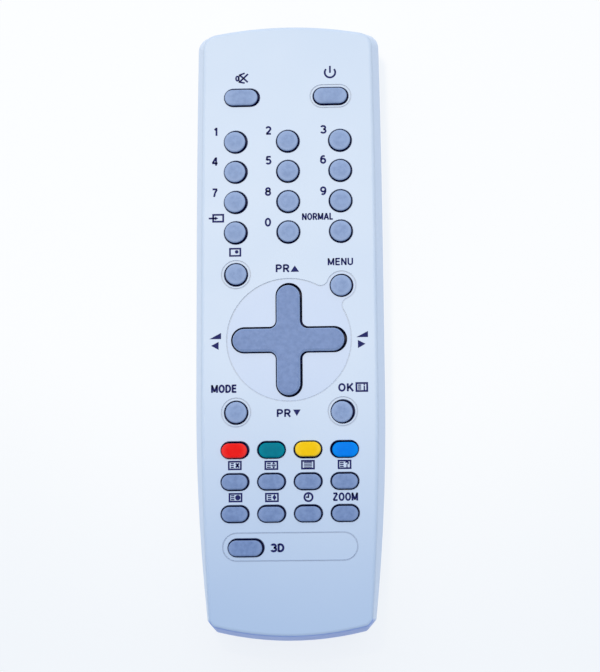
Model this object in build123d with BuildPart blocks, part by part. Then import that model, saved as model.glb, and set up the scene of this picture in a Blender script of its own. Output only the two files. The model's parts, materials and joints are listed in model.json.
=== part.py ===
from build123d import *
import math
import os

os.makedirs("parts", exist_ok=True)

# A hand-held remote control lying on its back: keys up (+Z), infrared end to +Y,
# origin under the middle of the case. All sizes are in millimetres.

# Case outline at the seam, seen from above
case_length = 189.5
case_width = 57.1
side_straight_top = 26.3        # the sides run straight between these two places
side_straight_bottom = -22.7
side_radius_top = 4200.0        # nearly straight, drawing in towards the infrared end
side_radius_bottom = 610.0      # the tail narrows for the hand
end_radius_top = 122.0
end_radius_bottom = 92.0
top_corner_radius = 4.5
tail_corner_cut = 2.6           # flat facet across each tail corner
tail_corner_rounding = 1.5
face_flank_radius = 960.0       # the top face narrows less than the seam, so the flanks stand steeper there
face_corner_cut = 1.0           # the top face reaches out into the tail corners
infrared_end = case_length / 2
tail_end = -case_length / 2

# Case walls
wall = 2.0
floor_thickness = 2.0
roof_thickness = 1.8
top_face_inset = 2.35           # how far the upper walls lean in between seam and top face
tail_lean_relief = 1.4          # the tail's wall stands this much steeper than the others
rim_rounding = 1.0
belly_inset = 7.0               # how far the lower walls curve in between seam and back
belly_steps = 6
lip_thickness = 0.9             # the upper shell's lip stands in a rebate of the lower one
lip_height = 1.2
lip_gap = 0.12
seam_step = 0.3                 # a fine shadow gap runs round the seam

# Battery cells, two side by side
cell_diameter = 10.5
cell_body_length = 43.5
cell_nub_diameter = 3.8
cell_nub_length = 1.0
cell_pitch = 11.5
cell_side_gap = 0.4
cell_edge_rounding = 0.6
bay_wall = 1.4
bay_roof_thickness = 1.0
bay_front = tail_end + 66.75
terminal_thickness = 0.4
terminal_width = 8.6
terminal_height = 9.0
terminal_dimple_diameter = 3.0
terminal_dimple_height = 0.6
terminal_tab_width = 3.0
terminal_dimple_taper = 30
slot_gap = 0.3
spring_length = 6.1
spring_wire = 0.6
spring_turns = 4
spring_wide_radius = 3.9
spring_narrow_radius = 2.5

# Battery door
door_half_width = case_width / 2 - 11.35
door_front = tail_end + 69.75
door_gap = 0.2
door_end_height = 8.0
tongue_reach = 0.8              # tongues along the door's edges run in grooves in the floor
tongue_thickness = 0.7
tongue_gap = 0.12
tongue_front = door_front - 2.0
tongue_rear = tail_end + 8.75
door_rib_height = 0.35
door_rib_width = 1.0
door_hook_reach = 1.4
door_hook_thickness = 0.8
door_hook_width = 4.8           # narrow enough to pass between the cells
grip_groove_width = 0.8
grip_groove_depth = 0.5
grip_groove_length = 18.0
grip_groove_pitch = 1.8
grip_groove_count = 7
grip_center = door_front - 12.0

# Board, mat and key stack, from the back upwards
clearance = 0.1
cell_top_gap = 0.2
board_underside_gap = 0.85
cell_bottom = floor_thickness + door_rib_height + clearance
cell_axis = cell_bottom + cell_diameter / 2
bay_roof_bottom = cell_axis + cell_diameter / 2 + cell_top_gap
seam_height = bay_roof_bottom + bay_roof_thickness
board_bottom = seam_height + board_underside_gap
board_thickness = 1.6
board_top = board_bottom + board_thickness
pad_thickness = 0.1
mat_thickness = 1.0
mat_top = board_top + mat_thickness
key_travel = 1.0
key_flange_thickness = 0.9
key_flange_overlap = 0.55       # how far a key's flange reaches under the rim of its opening
flange_press_gap = 0.3          # left under the flange when a key is fully down
flange_rest_gap = 0.4           # left above the flange when a key is up
key_flange_bottom = mat_top + key_travel + flange_press_gap
key_flange_top = key_flange_bottom + key_flange_thickness
roof_underside = key_flange_top + flange_rest_gap
case_height = roof_underside + roof_thickness
stem_press_gap = 0.2            # left between stem and contact pad when a key is fully down
stem_bottom = board_top + pad_thickness + key_travel + stem_press_gap
stem_diameter = 3.6
stem_hole_gap = 0.6
key_proud = 0.85
key_top = case_height + key_proud
key_crown = 0.25
key_edge_rounding = 0.5
opening_chamfer = 0.15

# Gaps round the keys
key_gap = 0.42
cross_gap = 0.5
cross_end_gap = 0.67

# How far each key has settled off the middle of its opening, in the soft mat
key_settling = {
    "mute": (-0.29, 0.0),
    "power": (-0.06, 0.08),
    "1": (-0.29, 0.0),
    "2": (-0.12, 0.08),
    "3": (-0.08, 0.1),
    "4": (-0.29, 0.0),
    "5": (-0.05, 0.04),
    "6": (-0.05, 0.06),
    "7": (-0.29, 0.06),
    "8": (0.0, 0.04),
    "9": (0.0, 0.04),
    "input": (-0.22, 0.08),
    "0": (0.0, 0.08),
    "normal": (-0.06, 0.06),
    "picture": (0.0, 0.1),
    "menu": (-0.12, -0.04),
    "mode": (0.0, 0.06),
    "ok": (-0.28, -0.12),
    "red": (-0.25, -0.18),
    "green": (0.08, -0.15),
    "yellow": (0.0, 0.06),
    "blue": (0.22, -0.18),
    "text_cancel": (-0.16, -0.08),
    "text_size": (-0.08, -0.08),
    "text": (-0.06, -0.12),
    "text_reveal": (0.0, -0.12),
    "text_hold": (-0.12, -0.1),
    "text_mix": (-0.12, -0.17),
    "clock": (-0.08, -0.17),
    "zoom": (0.0, -0.15),
    "3d": (-0.25, -0.17),
}
cross_settling = (-0.2, -0.1)

# Key openings: length and width
round_key = (7.2, 7.2)
wide_key = (10.95, 5.75)
oval_key = (8.5, 5.22)
long_key = (10.8, 5.45)
cross_span = 34.9
cross_arm = 8.05
cross_inner_radius = 1.8

# Key places: columns as shares of the case's width, rows as shares of its length
digit_column_pitch = 0.279 * case_width
digit_row_pitch = 0.0502 * case_length
digit_top_row = 0.2948 * case_length
digit_names = (("1", "2", "3"), ("4", "5", "6"), ("7", "8", "9"), ("input", "0", "normal"))
oval_column_pitch = 0.1897 * case_width
oval_row_pitch = 0.05003 * case_length
oval_top_row = -0.2058 * case_length
oval_names = (
    ("red", "green", "yellow", "blue"),
    ("text_cancel", "text_size", "text", "text_reveal"),
    ("text_hold", "text_mix", "clock", "zoom"),
)
power_row = 0.3694 * case_length
mute_column = -0.2453 * case_width
power_column = 0.2312 * case_width
side_column = 0.2785 * case_width
picture_place = (-side_column, 0.0755 * case_length)
menu_place = (side_column, 0.0559 * case_length)
cross_place = (0.0, -0.03077 * case_length)
mode_place = (-side_column, -0.1465 * case_length)
ok_place = (side_column, -0.1465 * case_length)
three_d_place = (-0.2277 * case_width, -0.3583 * case_length)

# Fine grooves in the top face
groove_width = 0.38
groove_depth = 0.25
ring_offset = 0.75              # from the edge of an opening to the middle of its ring
pad_circle_radius = 18.7
pad_recess_depth = 0.12
pad_neck_radius = 2.3           # where the big circle runs into the ring of the menu key
pill_length = 39.7
pill_width = 8.2
pill_place = (0.0, -0.3574 * case_length)

# Fasteners
outer_screw_column = cell_pitch / 2 + cell_diameter / 2 + cell_side_gap + bay_wall + 4.2
inner_screw_column = 11.5
board_screw_rows = (
    (outer_screw_column, 0.429 * case_length),
    (inner_screw_column, 0.0211 * case_length),
    (outer_screw_column, -0.4206 * case_length),
)
board_screw_places = [(side * column, row) for column, row in board_screw_rows for side in (-1, 1)]
board_boss_diameter = 4.2
board_screw_diameter = 1.8
board_screw_length = 4.8
board_screw_head_diameter = 3.6
board_screw_head_height = 1.2
case_screw_places = ((0.0, power_row), (0.0, 0.0939 * case_length))
case_pillar_diameter = 6.0
case_pillar_bottom = 8.0
case_screw_diameter = 2.4
case_screw_length = 9.0
case_screw_head_diameter = 4.4
case_screw_head_height = 1.6
case_screw_head_seat = 4.5
thread_gap = 0.05
case_well_diameter = 5.2
case_boss_diameter = 8.2
hole_gap = 0.4
screw_head_rounding = 0.4
screw_slot_share = 0.6          # of the head's diameter
screw_slot_depth = 0.5
screw_slot_width = 0.6

# Board outline
board_side_gap = 4.85           # from the inside of the case wall at the seam
board_upper_gap = 5.75
board_tail_gap = 7.75
board_corner = 5.0
mat_margin = 0.8                # the mat stops this far inside the edge of the board
pad_diameter = 4.4
cross_edge_rounding = 0.8
cross_contact_reach = 12.0
cross_contact_travel = 0.8

# Cross key pivot
pivot_radius = 1.2
pivot_gap = 0.12
pivot_post_radius = 1.0
pivot_post_gap = 0.05
pivot_roof_gap = 0.8
pivot_height = roof_underside - pivot_roof_gap
cross_hub_radius = 8.0
cross_hub_thickness = 0.8
cross_hub_gap = 1.0
cross_hub_bottom = mat_top + cross_hub_gap

# Infrared window and the parts under the board
led_diameter = 5.0
led_board_gap = 0.5
led_axis = board_bottom - led_diameter / 2 - led_board_gap
led_tip_gap = 1.5
led_body_length = 8.6
led_flange_diameter = 5.8
led_flange_thickness = 1.0
led_lead_pitch = 2.54
led_lead_length = 3.0
window_half_width = 9.0
window_half_height = 4.5
window_gap = 0.1
window_flange_reach = 1.3
window_flange_thickness = 1.0
chip_length = 13.0
chip_width = 7.6
chip_thickness = 2.3
chip_standoff = 0.15
chip_leg_count = 10
chip_leg_pitch = 1.27
chip_leg_width = 0.45
chip_leg_reach = 1.3
chip_leg_height = 1.1
chip_corner_rounding = 0.3
chip_notch = 1.2
chip_place = (2.0, 0.2322 * case_length)
resonator_size = (7.4, 3.2, 5.2)
resonator_place = (13.5, 0.1636 * case_length)
resonator_rounding = 0.8
resonator_lead_pitch = 5.0
capacitor_diameter = 5.0
capacitor_length = 11.0
capacitor_place = (-13.5, 0.2137 * case_length)
capacitor_rounding = 0.4
capacitor_neck_place = 1.6
capacitor_neck_depth = 0.3
capacitor_neck_width = 0.6
capacitor_lead_pitch = 2.0
transistor_diameter = 4.6
transistor_flat = 1.2
transistor_height = 4.6
transistor_lead_pitch = 1.27
transistor_place = (9.0, infrared_end - 18.75)
resistor_column = -14.5
resistor_pitch = 4.0
resistor_places = [(resistor_column, power_row + turn * resistor_pitch) for turn in (-1, 0, 1)]
resistor_diameter = 1.9
resistor_length = 4.2
resistor_span = 8.0
resistor_cap = 1.0
resistor_waist = 0.15
lead_diameter = 0.5
lead_length = 1.6
rib_thickness = 1.2
side_rib_places = (bay_front - 14.0, bay_front - 26.0, bay_front - 38.0)
rib_floor_gap = 0.5


# Openings for the keys, by node name: place and opening size
key_openings = {
    "key_mute": ((mute_column, power_row), wide_key),
    "key_power": ((power_column, power_row), wide_key),
}
for row, names in enumerate(digit_names):
    for column, name in zip((-1, 0, 1), names):
        place = (column * digit_column_pitch, digit_top_row - row * digit_row_pitch)
        key_openings[f"key_{name}"] = (place, round_key)
key_openings["key_picture"] = (picture_place, round_key)
key_openings["key_menu"] = (menu_place, round_key)
key_openings["key_mode"] = (mode_place, round_key)
key_openings["key_ok"] = (ok_place, round_key)
for row, names in enumerate(oval_names):
    for column, name in zip((-1.5, -0.5, 0.5, 1.5), names):
        place = (column * oval_column_pitch, oval_top_row - row * oval_row_pitch)
        key_openings[f"key_{name}"] = (place, oval_key)
key_openings["key_3d"] = (three_d_place, long_key)


# Where each key stands in its opening, by node name
key_places = {}
for name, shift in key_settling.items():
    opening_place = key_openings[f"key_{name}"][0]
    key_places[f"key_{name}"] = (opening_place[0] + shift[0], opening_place[1] + shift[1])

cross_center = (cross_place[0] + cross_settling[0], cross_place[1] + cross_settling[1])
stem_places = list(key_places.values())
cross_contact_places = [
    (cross_center[0] + right * cross_contact_reach, cross_center[1] + up * cross_contact_reach)
    for right, up in ((1, 0), (0, 1), (-1, 0), (0, -1))
]

board_half_width = case_width / 2 - wall - board_side_gap
board_upper_end = infrared_end - wall - board_upper_gap
board_tail_end = tail_end + wall + board_tail_gap
led_tip = infrared_end - wall - window_flange_thickness - led_tip_gap

# Battery door, worked out from its edges
door_cut_length = door_front - tail_end + wall
door_cut_middle = door_front - door_cut_length / 2
tongue_length = tongue_front - tongue_rear
tongue_middle = (tongue_front + tongue_rear) / 2
hook_root = door_front - bay_front - bay_wall - 2 * door_gap
hook_bottom = floor_thickness + door_gap
rib_bottom = floor_thickness + rib_floor_gap
rib_top = seam_height - lip_height - 2 * lip_gap
window_cut_depth = 4 * (wall + belly_inset)

# Battery bay, worked out from the cells
bay_half_width = cell_pitch / 2 + cell_diameter / 2 + cell_side_gap
cell_length = cell_body_length + cell_nub_length
bay_length = cell_length + spring_length + 2 * terminal_thickness + terminal_dimple_height
bay_rear = bay_front - bay_length
left_cell_x = -cell_pitch / 2
right_cell_x = cell_pitch / 2
tab_places = [(x, bay_front - terminal_thickness / 2) for x in (left_cell_x, right_cell_x)]


def circle_crossing(center_a, radius_a, center_b, radius_b, toward):
    """Where two circles cross, seen from a to b: toward is 1 for the left crossing, -1 for the right."""
    across = center_b - center_a
    along = (radius_a**2 - radius_b**2 + across.length**2) / (2 * across.length)
    rise = math.sqrt(radius_a**2 - along**2)
    direction = across.normalized()
    return center_a + direction * along + Vector(-direction.Y, direction.X) * rise * toward


def case_outline(height, inset, extra_rounding=0.0, rise=0.0):
    """The case outline at a height, moved in by inset; it goes from seam to top face as rise goes from 0 to 1."""
    tail_relief = tail_lean_relief * rise
    flank_radius = side_radius_bottom + (face_flank_radius - side_radius_bottom) * rise
    corner_cut = tail_corner_cut + (face_corner_cut - tail_corner_cut) * rise
    upper_side = Vector(case_width / 2 - side_radius_top, side_straight_top)
    lower_side = Vector(case_width / 2 - flank_radius, side_straight_bottom)
    top_middle = Vector(0, infrared_end - end_radius_top)
    tail_middle = Vector(0, tail_end - tail_relief + end_radius_bottom)
    upper_radius = side_radius_top - inset
    lower_radius = flank_radius - inset
    top_radius = end_radius_top - inset
    tail_radius = end_radius_bottom - inset
    top_corner = circle_crossing(upper_side, upper_radius, top_middle, top_radius, 1)
    tail_corner = circle_crossing(lower_side, lower_radius, tail_middle, tail_radius, -1)
    upper_turn = math.degrees(math.asin((top_corner.Y - upper_side.Y) / upper_radius))
    lower_turn = math.degrees(math.asin((lower_side.Y - tail_corner.Y) / lower_radius))
    top_turn = math.degrees(math.asin(top_corner.X / top_radius))
    tail_turn = math.degrees(math.asin(tail_corner.X / tail_radius))
    side_x = case_width / 2 - inset
    with BuildSketch(Plane.XY.offset(height)) as outline:
        with BuildLine():
            Line((side_x, side_straight_bottom), (side_x, side_straight_top))
            CenterArc(upper_side, upper_radius, 0, upper_turn)
            CenterArc(lower_side, lower_radius, 0, -lower_turn)
            mirror(about=Plane.YZ)
            CenterArc(top_middle, top_radius, 90 - top_turn, 2 * top_turn)
            CenterArc(tail_middle, tail_radius, 270 - tail_turn, 2 * tail_turn)
        make_face()
        fillet(outline.vertices().group_by(Axis.Y)[-1], top_corner_radius + extra_rounding)
        chamfer(outline.vertices().group_by(Axis.Y)[0], corner_cut + extra_rounding / 2)
        fillet(outline.vertices().sort_by(Axis.Y)[0:4], tail_corner_rounding + extra_rounding / 2)
    return outline.sketch


def upper_form(inset, top):
    """The space inside the case walls above the seam, moved in by inset."""
    rise = (top - seam_height) / (case_height - seam_height)
    top_outline = case_outline(top, inset + top_face_inset * rise, rise=rise)
    sections = [case_outline(seam_height, inset), top_outline]
    with BuildPart() as form:
        loft(sections, ruled=True)
    return form.part


def lower_form(inset, bottom):
    """The space inside the case walls below the seam: the sides turn under like a quarter ellipse."""
    sections = []
    for step in range(belly_steps + 1):
        turn = math.radians(90 * step / belly_steps)
        height = seam_height - (seam_height - bottom) * math.sin(turn)
        turned_in = belly_inset * (1 - math.cos(turn))
        sections.append(case_outline(height, inset + turned_in, turned_in))
    with BuildPart() as form:
        loft(sections)
    return form.part


def key_shape(length, width):
    """A round key is a circle, any other a slot with round ends."""
    if length > width:
        SlotOverall(length, width)
    else:
        Circle(width / 2)


def cross_outline(height, center, span, arm, inner_radius):
    """Two crossed slots with rounded inner corners."""
    middle = Vector(*center)
    with BuildSketch(Plane.XY.offset(height)) as outline:
        with Locations(center):
            SlotOverall(span, arm)
            SlotOverall(span, arm, rotation=90)
        inner_corners = [corner for corner in outline.vertices() if (Vector(corner) - middle).length < arm]
        fillet(inner_corners, inner_radius)
    return outline.sketch


def pad_outline(height, grow):
    """Outline of the round pad, which necks into the ring of the menu key, grown by an amount."""
    pad_radius = pad_circle_radius + grow
    menu_radius = round_key[0] / 2 + ring_offset + grow
    neck_radius = pad_neck_radius - grow
    pad_center = Vector(*cross_place)
    menu_center = Vector(*menu_place)
    away = (menu_center - pad_center).normalized()
    ends = []
    for toward in (1, -1):
        neck_center = circle_crossing(
            pad_center, pad_radius + neck_radius, menu_center, menu_radius + neck_radius, toward
        )
        on_pad = pad_center + (neck_center - pad_center).normalized() * pad_radius
        on_menu = menu_center + (neck_center - menu_center).normalized() * menu_radius
        inward = ((on_pad + on_menu) * 0.5 - neck_center).normalized()
        ends.append((on_pad, neck_center + inward * neck_radius, on_menu))
    (left_pad, left_neck, left_menu), (right_pad, right_neck, right_menu) = ends
    with BuildSketch(Plane.XY.offset(height)) as outline:
        with BuildLine():
            ThreePointArc(left_pad, left_neck, left_menu)
            ThreePointArc(left_menu, menu_center + away * menu_radius, right_menu)
            ThreePointArc(right_menu, right_neck, right_pad)
            ThreePointArc(right_pad, pad_center - away * pad_radius, left_pad)
        make_face()
    return outline.sketch


def board_outline(height, inset):
    """The circuit board's outline, a rectangle with its corners cut, moved in by inset."""
    with BuildSketch(Plane.XY.offset(height)) as outline:
        with Locations((0, (board_upper_end + board_tail_end) / 2)):
            Rectangle(2 * (board_half_width - inset), board_upper_end - board_tail_end - 2 * inset)
        chamfer(outline.vertices(), board_corner)
    return outline.sketch


def ring_outline(height, place, length, width, offset):
    """A fine ring round a slot or circle, with its middle line at offset from the edge."""
    outer = 2 * offset + groove_width
    inner = 2 * offset - groove_width
    with BuildSketch(Plane.XY.offset(height)) as ring:
        with Locations(place):
            key_shape(length + outer, width + outer)
            if length > width:
                SlotOverall(length + inner, width + inner, mode=Mode.SUBTRACT)
            else:
                Circle((width + inner) / 2, mode=Mode.SUBTRACT)
    return ring.sketch


def arc_pair(start, start_direction, end, end_direction):
    """Two arcs that leave start and reach end along the given directions."""
    chord = end - start
    both = start_direction + end_direction
    spread = 2 * (1 - start_direction.dot(end_direction))
    reach = (math.sqrt(chord.dot(both) ** 2 + spread * chord.dot(chord)) - chord.dot(both)) / spread
    start_handle = start + start_direction * reach
    end_handle = end - end_direction * reach
    middle = (start_handle + end_handle) * 0.5
    TangentArc(start, middle, tangent=start_direction)
    TangentArc(middle, end, tangent=end_handle - start_handle)


def spring_point(x, foot, toward, turned):
    """Centre of the spring wire after a number of turns: foot is the y of its wide end."""
    radius = spring_wide_radius + (spring_narrow_radius - spring_wide_radius) * turned / spring_turns
    height = spring_wire / 2 + (spring_length - spring_wire) * turned / spring_turns
    angle = 2 * math.pi * turned
    across = radius * math.cos(angle)
    up = radius * math.sin(angle)
    return Vector(x + across, foot + toward * height, cell_axis + up)


def spring_direction(x, foot, toward, turned):
    """Direction of the spring wire after a number of turns."""
    step = 0.0001
    ahead = spring_point(x, foot, toward, turned + step)
    return (ahead - spring_point(x, foot, toward, turned - step)).normalized()


def finish(part, name):
    """Label a finished piece and write it."""
    part.label = name
    export_step(part, f"parts/{name}.step")


outer_upper = upper_form(0, case_height)
inner_upper = upper_form(wall, roof_underside)
outer_lower = lower_form(0, 0)
inner_lower = lower_form(wall, floor_thickness)
lip_outer = case_outline(seam_height, wall - lip_thickness)
lip_inner = case_outline(seam_height, wall)
rebate_outline = case_outline(seam_height, wall - lip_thickness - lip_gap)
seam_ring = case_outline(seam_height, -wall) - case_outline(seam_height, seam_step)
pad_recess = pad_outline(case_height, 0)
pad_groove = pad_outline(case_height, groove_width / 2) - pad_outline(case_height, -groove_width / 2)
cross_opening = cross_outline(roof_underside, cross_place, cross_span, cross_arm, cross_inner_radius)
cross_cap = cross_outline(
    key_flange_bottom,
    cross_center,
    cross_span - 2 * cross_end_gap,
    cross_arm - 2 * cross_gap,
    cross_inner_radius + cross_gap,
)
cross_stem_bottom = board_top + pad_thickness + cross_contact_travel
wall_middle = lower_form(wall / 2, floor_thickness / 2)
ringed_keys = ("key_power", "key_picture", "key_mode", "key_ok")

# Upper shell: the face that carries the keys, its walls, lip, bosses and pillars
with BuildPart() as top_shell:
    add(outer_upper)
    fillet(top_shell.faces().sort_by(Axis.Z)[-1].edges(), rim_rounding)
    add(inner_upper, mode=Mode.SUBTRACT)
    extrude(lip_outer, amount=-lip_height)
    extrude(lip_inner, amount=-lip_height, mode=Mode.SUBTRACT)
    # Bosses for the board screws
    with BuildSketch(Plane.XY.offset(board_top)):
        with Locations(*board_screw_places):
            Circle(board_boss_diameter / 2)
    extrude(amount=roof_underside - board_top)
    with BuildSketch(Plane.XY.offset(board_top)):
        with Locations(*board_screw_places):
            Circle(board_screw_diameter / 2 + thread_gap)
    extrude(amount=roof_underside - board_top, mode=Mode.SUBTRACT)
    # Pillars for the case screws
    with BuildSketch(Plane.XY.offset(case_pillar_bottom)):
        with Locations(*case_screw_places):
            Circle(case_pillar_diameter / 2)
    extrude(amount=roof_underside - case_pillar_bottom)
    with BuildSketch(Plane.XY.offset(case_pillar_bottom)):
        with Locations(*case_screw_places):
            Circle(case_screw_diameter / 2 + thread_gap)
    extrude(amount=roof_underside - case_pillar_bottom, mode=Mode.SUBTRACT)
    # Shallow recess round the cross key, running into the ring of the menu key
    extrude(pad_recess, amount=-pad_recess_depth, mode=Mode.SUBTRACT)
    extrude(pad_groove, amount=-groove_depth, mode=Mode.SUBTRACT)
    # Fine rings and the pill-shaped frame
    for key in ringed_keys:
        place, size = key_openings[key]
        key_ring = ring_outline(case_height, place, *size, ring_offset)
        extrude(key_ring, amount=-groove_depth, mode=Mode.SUBTRACT)
    pill_ring = ring_outline(case_height, pill_place, pill_length, pill_width, 0)
    extrude(pill_ring, amount=-groove_depth, mode=Mode.SUBTRACT)
    # Key openings, each with a fine chamfer round its rim
    with BuildSketch(Plane.XY.offset(roof_underside)):
        for place, size in key_openings.values():
            with Locations(place):
                key_shape(*size)
    extrude(amount=roof_thickness, mode=Mode.SUBTRACT)
    extrude(cross_opening, amount=roof_thickness, mode=Mode.SUBTRACT)
    with BuildSketch(Plane.XY.offset(case_height - opening_chamfer)):
        for name, (place, size) in key_openings.items():
            if name != "key_menu":
                with Locations(place):
                    key_shape(*size)
    extrude(amount=opening_chamfer, taper=-45, mode=Mode.SUBTRACT)
    # Opening for the infrared window
    with Locations((0, infrared_end, led_axis)):
        Box(2 * window_half_width, window_cut_depth, 2 * window_half_height, mode=Mode.SUBTRACT)

finish(top_shell.part, "top_shell")

# Lower shell: floor, curved walls, rebate, battery bay and screw bosses
with BuildPart() as bay_walls:
    with BuildSketch(Plane.XY.offset(rib_bottom)):
        with Locations((0, bay_front + bay_wall / 2), (0, bay_rear - bay_wall / 2)):
            Rectangle(case_width, bay_wall)
        with Locations(*[(0, y) for y in side_rib_places]):
            Rectangle(case_width, rib_thickness)
    extrude(amount=rib_top - rib_bottom)
    with BuildSketch(Plane.XY.offset(cell_bottom)):
        with Locations((0, (bay_front + bay_rear) / 2)):
            Rectangle(2 * (bay_half_width + bay_wall), bay_length + 2 * bay_wall)
    extrude(amount=seam_height - cell_bottom)
    with BuildSketch(Plane.XY.offset(floor_thickness / 2)):
        with Locations(*case_screw_places):
            Circle(case_boss_diameter / 2)
    extrude(amount=case_pillar_bottom - clearance - floor_thickness / 2)
    add(wall_middle, mode=Mode.INTERSECT)

with BuildPart() as bottom_shell:
    add(outer_lower)
    add(inner_lower, mode=Mode.SUBTRACT)
    extrude(seam_ring, amount=-seam_step, mode=Mode.SUBTRACT)
    extrude(rebate_outline, amount=-lip_height - lip_gap, mode=Mode.SUBTRACT)
    # Opening that the battery door closes
    with Locations((0, door_cut_middle, door_end_height / 2)):
        Box(
            2 * (door_half_width + door_gap),
            door_cut_length + 2 * door_gap,
            door_end_height + 2 * door_gap,
            mode=Mode.SUBTRACT,
        )
    # Grooves for the door's tongues, open at the tail
    with Locations((0, door_cut_middle, floor_thickness / 2)):
        Box(
            2 * (door_half_width + tongue_reach + door_gap),
            door_cut_length,
            tongue_thickness + 2 * tongue_gap,
            mode=Mode.SUBTRACT,
        )
    add(bay_walls)
    # Way for the door's hook under the end walls of the bay
    with BuildSketch(Plane.XY.offset(floor_thickness)):
        with Locations((0, (bay_front + bay_rear) / 2)):
            Rectangle(door_hook_width + 2 * slot_gap, bay_length + 4 * bay_wall)
    extrude(amount=door_gap + door_hook_thickness + slot_gap, mode=Mode.SUBTRACT)
    # Space for the cells, open towards the door
    with BuildSketch(Plane.XY):
        with Locations((0, (bay_front + bay_rear) / 2)):
            Rectangle(2 * bay_half_width, bay_length)
    extrude(amount=bay_roof_bottom, mode=Mode.SUBTRACT)
    # Slots in the roof of the bay for the terminal tabs
    with BuildSketch(Plane.XY.offset(bay_roof_bottom)):
        with Locations(*tab_places):
            Rectangle(terminal_tab_width + 2 * slot_gap, terminal_thickness + 2 * slot_gap)
    extrude(amount=bay_roof_thickness, mode=Mode.SUBTRACT)
    # Wells and holes for the case screws
    with BuildSketch(Plane.XY):
        with Locations(*case_screw_places):
            Circle(case_well_diameter / 2)
    extrude(amount=case_screw_head_seat, mode=Mode.SUBTRACT)
    with BuildSketch(Plane.XY.offset(case_screw_head_seat)):
        with Locations(*case_screw_places):
            Circle(case_screw_diameter / 2 + hole_gap)
    extrude(amount=case_pillar_bottom - case_screw_head_seat, mode=Mode.SUBTRACT)
    # Opening for the infrared window
    with Locations((0, infrared_end, led_axis)):
        Box(2 * window_half_width, window_cut_depth, 2 * window_half_height, mode=Mode.SUBTRACT)

finish(bottom_shell.part, "bottom_shell")

# Battery door: a cut of the lower shell with tongues, ribs, a front hook and grip grooves
with BuildPart() as battery_door:
    add(outer_lower)
    add(inner_lower, mode=Mode.SUBTRACT)
    with Locations((0, door_cut_middle, door_end_height / 2 - wall)):
        Box(2 * door_half_width, door_cut_length, door_end_height + 2 * wall, mode=Mode.INTERSECT)
    with Locations((0, tongue_middle, floor_thickness / 2)):
        Box(2 * (door_half_width + tongue_reach), tongue_length, tongue_thickness)
    with BuildSketch(Plane.XY.offset(floor_thickness / 2)):
        with Locations((0, door_front - hook_root / 2)):
            Rectangle(door_hook_width, hook_root)
    extrude(amount=hook_bottom - floor_thickness / 2)
    with BuildSketch(Plane.XY.offset(hook_bottom)):
        with Locations((0, door_front + (door_hook_reach - hook_root) / 2)):
            Rectangle(door_hook_width, door_hook_reach + hook_root)
    extrude(amount=door_hook_thickness)
    with BuildSketch(Plane.XY.offset(floor_thickness / 2)):
        with Locations(*[(0, y) for y in side_rib_places]):
            Rectangle(2 * (bay_half_width - door_gap), door_rib_width)
    extrude(amount=floor_thickness / 2 + door_rib_height)
    with BuildSketch(Plane.XY):
        with Locations((0, grip_center)):
            with GridLocations(0, grip_groove_pitch, 1, grip_groove_count):
                SlotOverall(grip_groove_length, grip_groove_width)
    extrude(amount=grip_groove_depth, mode=Mode.SUBTRACT)

finish(battery_door.part, "battery_door")

# Infrared window: a plug through the walls of both shells, with a flange behind them
with BuildPart() as window_flange:
    add(upper_form(wall + clearance / 2, roof_underside))
    add(lower_form(wall + clearance / 2, floor_thickness))
    with Locations((0, infrared_end, led_axis)):
        Box(
            2 * (window_half_width + window_flange_reach),
            window_cut_depth,
            2 * (window_half_height + window_flange_reach),
            mode=Mode.INTERSECT,
        )

with BuildPart() as ir_window:
    add(outer_upper)
    add(outer_lower)
    with Locations((0, infrared_end, led_axis)):
        Box(
            2 * (window_half_width - window_gap),
            window_cut_depth,
            2 * (window_half_height - window_gap),
            mode=Mode.INTERSECT,
        )
    add(window_flange)
    add(upper_form(wall + window_flange_thickness, roof_underside), mode=Mode.SUBTRACT)
    add(lower_form(wall + window_flange_thickness, floor_thickness), mode=Mode.SUBTRACT)

finish(ir_window.part, "ir_window")

# Keys: a cap in its opening, a flange under the rim and a contact stem
for name, key_place in key_places.items():
    length, width = key_openings[name][1]
    cap_length = length - 2 * key_gap
    crown_radius = cap_length**2 / (8 * key_crown)
    with BuildPart() as key:
        with BuildSketch(Plane.XY.offset(key_flange_bottom)):
            with Locations(key_place):
                key_shape(length + 2 * key_flange_overlap, width + 2 * key_flange_overlap)
        extrude(amount=key_flange_thickness)
        with BuildSketch(Plane.XY.offset(key_flange_bottom)):
            with Locations(key_place):
                key_shape(cap_length, width - 2 * key_gap)
        extrude(amount=key_top - key_flange_bottom)
        with Locations((*key_place, key_top - crown_radius)):
            Sphere(crown_radius, mode=Mode.INTERSECT)
        fillet(key.faces().sort_by(Axis.Z)[-1].edges(), key_edge_rounding)
        with BuildSketch(Plane.XY.offset(stem_bottom)):
            with Locations(key_place):
                Circle(stem_diameter / 2)
        extrude(amount=key_flange_bottom - stem_bottom)
    finish(key.part, name)

# Cross key: four arms on a hub with a socket, and a contact stem under each arm
with BuildPart() as cross_key:
    extrude(cross_cap, amount=key_top - key_flange_bottom)
    fillet(cross_key.faces().sort_by(Axis.Z)[-1].edges(), cross_edge_rounding)
    with BuildSketch(Plane.XY.offset(cross_hub_bottom)):
        with Locations(cross_center):
            Circle(cross_hub_radius)
    extrude(amount=cross_hub_thickness)
    with BuildSketch(Plane.XY.offset(cross_stem_bottom)):
        with Locations(*cross_contact_places):
            Circle(stem_diameter / 2)
    extrude(amount=key_flange_bottom - cross_stem_bottom)
    with Locations((*cross_center, pivot_height)):
        Sphere(pivot_radius + pivot_gap, mode=Mode.SUBTRACT)

finish(cross_key.part, "cross_key")

# Ball under the middle of the cross key, on which it rocks both ways
with BuildPart() as cross_pivot:
    with Locations((*cross_center, pivot_height)):
        Sphere(pivot_radius)

finish(cross_pivot.part, "cross_pivot")

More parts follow.
